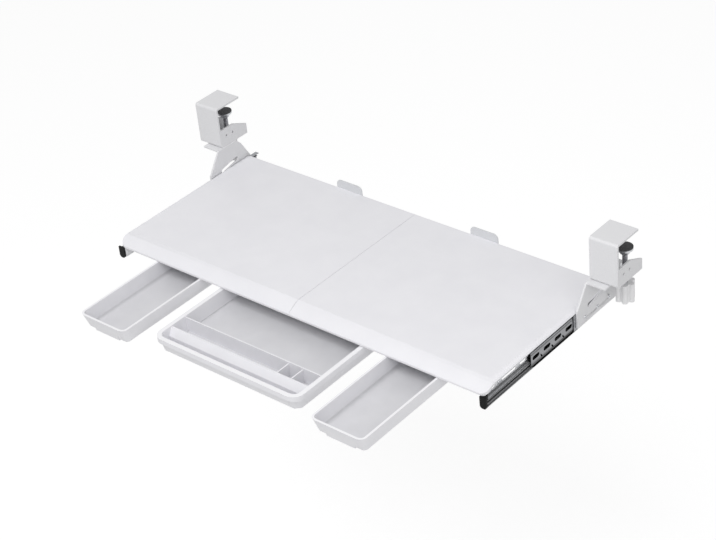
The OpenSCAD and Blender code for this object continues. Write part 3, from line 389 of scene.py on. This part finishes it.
def behind_the_middle(finish):
    """The stretch of a tray's member that the middle member covers at rest, painted black as the shade
    seen through the middle member's slots.
    """
    along = finish.axis(finish.place, "Y")
    return finish.spread(along, COVERED_Y - COVERED_FADE, COVERED_Y + COVERED_FADE, 0.0, 1.0)


def in_the_crease(finish):
    """The line where a middle member's upper race is rolled in, painted black as the shade in that
    crease.
    """
    return finish.band(finish.axis(finish.place, "Z"), CREASE_Z, CREASE_HALF)


def soft_rubber(name):
    """Dull rubber with a pebbled face."""
    finish = Finish(name)
    finish.colour(finish.tone(name, finish.noise(scale=300, detail=4)))
    finish.rough(low=0.72, high=0.86, factor=finish.noise(scale=500))
    finish.bump(finish.cells(scale=900), strength=0.3, distance=0.15 * MM)
    return finish.material


# Finish of each material slot
FINISHES = {
    "white_steel": powder_coat("white_steel"),
    "white_panel": satin_panel("white_panel"),
    "white_knob": moulding("white_knob", grain=1800),
    "grey_tab": powder_coat("grey_tab"),
    "zinc_slide": rolled_zinc("zinc_slide", smoothest=0.24, roughest=0.38, along=ALONG_Y),
    "zinc_small": rolled_zinc("zinc_small", smoothest=0.22, roughest=0.36, along=ALL_WAYS),
    "zinc_runner": rolled_zinc("zinc_runner", smoothest=0.26, roughest=0.40, along=ALONG_Y),
    "dark_steel": rolled_zinc("dark_steel", smoothest=0.30, roughest=0.44, along=ALL_WAYS),
    "black_cap": moulding("black_cap", grain=1600, gloss=CAP_GLOSS),
    "grey_rubber": soft_rubber("grey_rubber"),
}

# Nodes whose finish depends on the place on them
# Tray member: grease low down and black painted as shade behind the middle member; middle member: grease
# low down and black painted as shade in its crease
TRAY_MEMBER = greased_zinc_with_painted_shade("zinc_tray_member", "bright_plate", "grease_film",
                           TRAY_FILM_Z, TRAY_FILM_FADE, behind_the_middle)
MID_MEMBER = greased_zinc_with_painted_shade("zinc_mid_member", "dull_plate", "thick_film",
                          MID_FILM_Z, MID_FILM_FADE, in_the_crease)
OWN_FINISHES = {node: tub_plastic(node) for node in ("left_drawer", "middle_drawer", "right_drawer")}
for side in SIDES:
    OWN_FINISHES[f"{side}_inner_slide"] = TRAY_MEMBER
    OWN_FINISHES[f"{side}_mid_slide"] = MID_MEMBER


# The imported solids: rounded edges and their finish


def paint(node):
    solid = NODES[node]
    solid.data.materials.clear()
    solid.data.materials.append(OWN_FINISHES.get(node) or FINISHES[SLOT_OF[node]])
    return solid


def dress(node):
    """Paints a node and rounds its edges."""
    solid = paint(node)
    weld = solid.modifiers.new("weld", "WELD")
    weld.merge_threshold = WELD_DISTANCE
    bevel = solid.modifiers.new("bevel", "BEVEL")
    bevel.width = CAGE_EDGE_WIDTH if "cages" in node else EDGE_WIDTH[SLOT_OF[node]]
    bevel.segments = EDGE_SEGMENTS
    bevel.limit_method = "ANGLE"
    bevel.angle_limit = EDGE_ANGLE
    bevel.use_clamp_overlap = True
    normals = solid.modifiers.new("normals", "WEIGHTED_NORMAL")
    normals.weight = NORMAL_WEIGHT
    normals.keep_sharp = True


for node_name in NODES:
    if node_name.endswith("balls"):
        paint(node_name)
    else:
        dress(node_name)


# Small hardware in place of plain solids


def piece(name, mesh, node):
    """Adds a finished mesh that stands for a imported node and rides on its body."""
    mesh.normal_update()
    data = bpy.data.meshes.new(name)
    mesh.to_mesh(data)
    mesh.free()
    data.materials.append(FINISHES[SLOT_OF[node]])
    made = bpy.data.objects.new(name, data)
    bpy.context.scene.collection.objects.link(made)
    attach(made, BODY_OF[node])
    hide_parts(node)


def ring(mesh, base, turn, radius_at, height, around, shift=0.0):
    """Adds a ring of vertices round a turned axis through base, with a radius for each angle."""
    made = []
    for i in range(around):
        angle = 2 * math.pi * (i + shift) / around
        radius = radius_at(angle)
        spot = Vector((radius * math.cos(angle), radius * math.sin(angle), height))
        made.append(mesh.verts.new(base + turn @ spot))
    return made


def skin(mesh, rings):
    """Joins rings into a smooth tube that is closed at its first end."""
    for lower, upper in zip(rings, rings[1:]):
        count = len(lower)
        for i in range(count):
            after = (i + 1) % count
            mesh.faces.new((lower[i], lower[after], upper[after], upper[i])).smooth = True
    mesh.faces.new(list(reversed(rings[0])))


def threaded_rod(name, node):
    """Clamp screw with a helical thread and chamfered ends."""
    low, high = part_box(node)
    base = Vector(((low.x + high.x) / 2, (low.y + high.y) / 2, 0))
    crest = (high.x - low.x) / 2
    rows = round((high.z - low.z) / THREAD_PITCH * THREAD_ROWS_PER_TURN)
    mesh = bmesh.new()
    rings = []
    for row in range(rows + 1):
        z = low.z + (high.z - low.z) * row / rows
        to_end = min(z - low.z, high.z - z)
        chamfer = max(0.0, THREAD_DEPTH - to_end)

        def radius_at(angle, turns=(z - low.z) / THREAD_PITCH, cut=chamfer):
            phase = (turns - angle / (2 * math.pi)) % 1
            groove = abs(2 * phase - 1)
            return min(crest - THREAD_DEPTH * groove, crest - cut)

        rings.append(ring(mesh, base, UPRIGHT, radius_at, z, THREAD_AROUND))
    skin(mesh, rings)
    mesh.faces.new(rings[-1])
    piece(name, mesh, node)


def islands(node):
    """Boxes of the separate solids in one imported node."""
    mesh = bmesh.new()
    mesh.from_mesh(NODES[node].data)
    bmesh.ops.remove_doubles(mesh, verts=mesh.verts, dist=WELD_DISTANCE)
    left = set(mesh.verts)
    boxes = []
    while left:
        stack = [left.pop()]
        found = []
        while stack:
            vert = stack.pop()
            found.append(vert.co.copy())
            for edge in vert.link_edges:
                other = edge.other_vert(vert)
                if other in left:
                    left.remove(other)
                    stack.append(other)
        boxes.append((Vector(map(min, zip(*found))), Vector(map(max, zip(*found)))))
    mesh.free()
    return sorted(boxes, key=lambda box: tuple(round(v, SORT_DIGITS) for v in box[0]))


def pan_head(mesh, seat, axis, head_r, reach):
    """Domed head with a cross recess, and the shank below it, along an axis from the head's seat."""
    turn = axis.to_track_quat("Z", "Y").to_matrix()

    def ring_at(radius, height):
        return ring(mesh, seat, turn, lambda angle: radius, height, HEAD_AROUND, shift=0.5)

    tip_r = SHANK_TIP * SHANK_RADIUS
    rings = [ring_at(tip_r, -reach), ring_at(SHANK_RADIUS, -reach + SHANK_RADIUS - tip_r),
             ring_at(SHANK_RADIUS, 0), ring_at(head_r, 0)]
    for step in range(HEAD_RINGS + 1):
        lift = math.pi / 2 * step / (HEAD_RINGS + 1)
        radius = head_r * (1 - HEAD_CROWN + HEAD_CROWN * math.cos(lift))
        rings.append(ring_at(radius, HEAD_HEIGHT * (HEAD_BAND + (1 - HEAD_BAND) * math.sin(lift))))
    skin(mesh, rings)
    cross_face(mesh, seat, turn, rings[-1], head_r)


def cross_face(mesh, seat, turn, rim, head_r):
    """Closes the head's top with a cross-shaped recess."""
    arm = RECESS_REACH * head_r
    half = RECESS_WIDTH * head_r
    outline = [(arm, -half), (arm, half), (half, half), (half, arm), (-half, arm), (-half, half),
               (-arm, half), (-arm, -half), (-half, -half), (-half, -arm), (half, -arm), (half, -half)]

    def corners(scale, height):
        return [mesh.verts.new(seat + turn @ Vector((x * scale, y * scale, height))) for x, y in outline]

    mouth = corners(1.0, HEAD_HEIGHT)
    floor = corners(RECESS_TAPER, HEAD_HEIGHT * (1 - RECESS_DEPTH))
    count = len(outline)
    for i in range(count):
        mesh.faces.new((mouth[i], mouth[(i + 1) % count], floor[(i + 1) % count], floor[i]))
    mesh.faces.new(floor)
    edges = []
    for loop in (rim, mouth):
        for start, end in zip(loop, loop[1:] + loop[:1]):
            edges.append(mesh.edges.get((start, end)) or mesh.edges.new((start, end)))
    bmesh.ops.triangle_fill(mesh, edges=edges, use_beauty=True)


def screws(name, node, axis_index, outward):
    """Pan-head screws in place of a node's plain ones. outward gives the side of a screw's head."""
    mesh = bmesh.new()
    across = (axis_index + 1) % 3
    for low, high in islands(node):
        centre = (low + high) / 2
        head_r = (high[across] - low[across]) / 2
        side = outward(centre)
        axis = Vector((0, 0, 0))
        axis[axis_index] = side
        seat = centre.copy()
        seat[axis_index] = (high if side > 0 else low)[axis_index] - side * HEAD_HEIGHT
        reach = high[axis_index] - low[axis_index] - HEAD_HEIGHT
        pan_head(mesh, seat, axis, head_r, reach)
    bmesh.ops.recalc_face_normals(mesh, faces=mesh.faces)
    piece(name, mesh, node)


def head_outside(centre):
    return 1 if centre.x > 0 else -1


def head_below(centre):
    return -1


for side in SIDES:
    threaded_rod(f"{side}_thread", f"{side}_clamp_screw")
screws("slide_screws_on_hangers", "fixed_slide_screws", X_AXIS, head_outside)
screws("slide_screws_on_tray", "inner_slide_screws", X_AXIS, head_outside)
for node_name in ("panel_screws", "tab_screws", "runner_screws"):
    screws(f"{node_name}_pan_head", node_name, Z_AXIS, head_below)


# Stage, light and camera


def seen_directly(tree):
    """Gives 1 for rays from the camera and for what gloss and glass show, and 0 for other rays."""
    path = tree.nodes.new("ShaderNodeLightPath")
    seen = path.outputs["Is Camera Ray"]
    for ray in ("Is Glossy Ray", "Is Transmission Ray"):
        either = tree.nodes.new("ShaderNodeMath")
        either.operation = "MAXIMUM"
        tree.links.new(seen, either.inputs[0])
        tree.links.new(path.outputs[ray], either.inputs[1])
        seen = either.outputs["Value"]
    return seen


def shader(tree, kind, colour, strength=None):
    made = tree.nodes.new(kind)
    made.inputs["Color"].default_value = colour
    if strength is not None:
        made.inputs["Strength"].default_value = strength
    return made.outputs[0]


def choose(tree, factor, otherwise, when_true):
    """Gives one shader where a factor is 0, and another where it is 1."""
    mix = tree.nodes.new("ShaderNodeMixShader")
    tree.links.new(factor, mix.inputs["Fac"])
    tree.links.new(otherwise, mix.inputs[1])
    tree.links.new(when_true, mix.inputs[2])
    return mix.outputs["Shader"]


def make_world():
    """Even light that looks white to the camera."""
    world = bpy.data.worlds.new("studio")
    world.use_nodes = True
    tree = world.node_tree
    tree.nodes.clear()
    soft = shader(tree, "ShaderNodeBackground", WHITE, WORLD_LIGHT)
    white = shader(tree, "ShaderNodeBackground", WHITE, 1.0)
    out = tree.nodes.new("ShaderNodeOutputWorld")
    tree.links.new(choose(tree, seen_directly(tree), soft, white), out.inputs["Surface"])
    bpy.context.scene.world = world


def floor_material():
    """Pale floor that looks white from above, keeps the object's shadow, and is clear from below."""
    material = bpy.data.materials.new("floor")
    material.use_nodes = True
    tree = material.node_tree
    tree.nodes.clear()
    plain = shader(tree, "ShaderNodeBsdfDiffuse", FLOOR_COLOUR)
    bright = tree.nodes.new("ShaderNodeAddShader")
    tree.links.new(shader(tree, "ShaderNodeEmission", WHITE, FLOOR_GLOW), bright.inputs[0])
    tree.links.new(shader(tree, "ShaderNodeBsdfDiffuse", FLOOR_SHADE), bright.inputs[1])
    top = choose(tree, seen_directly(tree), plain, bright.outputs["Shader"])
    clear = shader(tree, "ShaderNodeBsdfTransparent", WHITE)
    below = tree.nodes.new("ShaderNodeNewGeometry").outputs["Backfacing"]
    out = tree.nodes.new("ShaderNodeOutputMaterial")
    tree.links.new(choose(tree, below, top, clear), out.inputs["Surface"])
    return material


def make_floor():
    mesh = bmesh.new()
    bmesh.ops.create_grid(mesh, x_segments=1, y_segments=1, size=FLOOR_HALF,
                          matrix=Matrix.Translation((0, 0, FLOOR_Z)))
    data = bpy.data.meshes.new("floor")
    mesh.to_mesh(data)
    mesh.free()
    data.materials.append(floor_material())
    floor = bpy.data.objects.new("floor", data)
    bpy.context.scene.collection.objects.link(floor)


def area_light(name, place, aim, size, watts):
    lamp = bpy.data.lights.new(name, "AREA")
    lamp.shape = "RECTANGLE"
    lamp.size, lamp.size_y = size
    lamp.energy = watts
    made = bpy.data.objects.new(name, lamp)
    made.location = place
    made.rotation_euler = (Vector(aim) - Vector(place)).to_track_quat("-Z", "Y").to_euler()
    bpy.context.scene.collection.objects.link(made)


def make_camera():
    """Camera on a sphere round its target, rolled about its line of sight."""
    back = Vector((math.sin(CAMERA_AZIMUTH) * math.cos(CAMERA_ELEVATION),
                   -math.cos(CAMERA_AZIMUTH) * math.cos(CAMERA_ELEVATION),
                   math.sin(CAMERA_ELEVATION)))
    level = Vector((math.cos(CAMERA_AZIMUTH), math.sin(CAMERA_AZIMUTH), 0))
    upright = back.cross(level)
    right = math.cos(CAMERA_ROLL) * level + math.sin(CAMERA_ROLL) * upright
    up = math.cos(CAMERA_ROLL) * upright - math.sin(CAMERA_ROLL) * level
    lens = bpy.data.cameras.new("camera")
    lens.sensor_width = SENSOR_W
    lens.lens = FOCAL_PX * SENSOR_W / IMAGE_W
    camera = bpy.data.objects.new("camera", lens)
    turn = Matrix((right, up, back)).transposed()
    camera.matrix_world = Matrix.Translation(CAMERA_TARGET + back * CAMERA_DISTANCE) @ turn.to_4x4()
    bpy.context.scene.collection.objects.link(camera)
    bpy.context.scene.camera = camera


make_world()
make_floor()
area_light("key", **KEY_LAMP)
area_light("fill", **FILL_LAMP)
make_camera()
bpy.context.scene.view_settings.view_transform = "Standard"
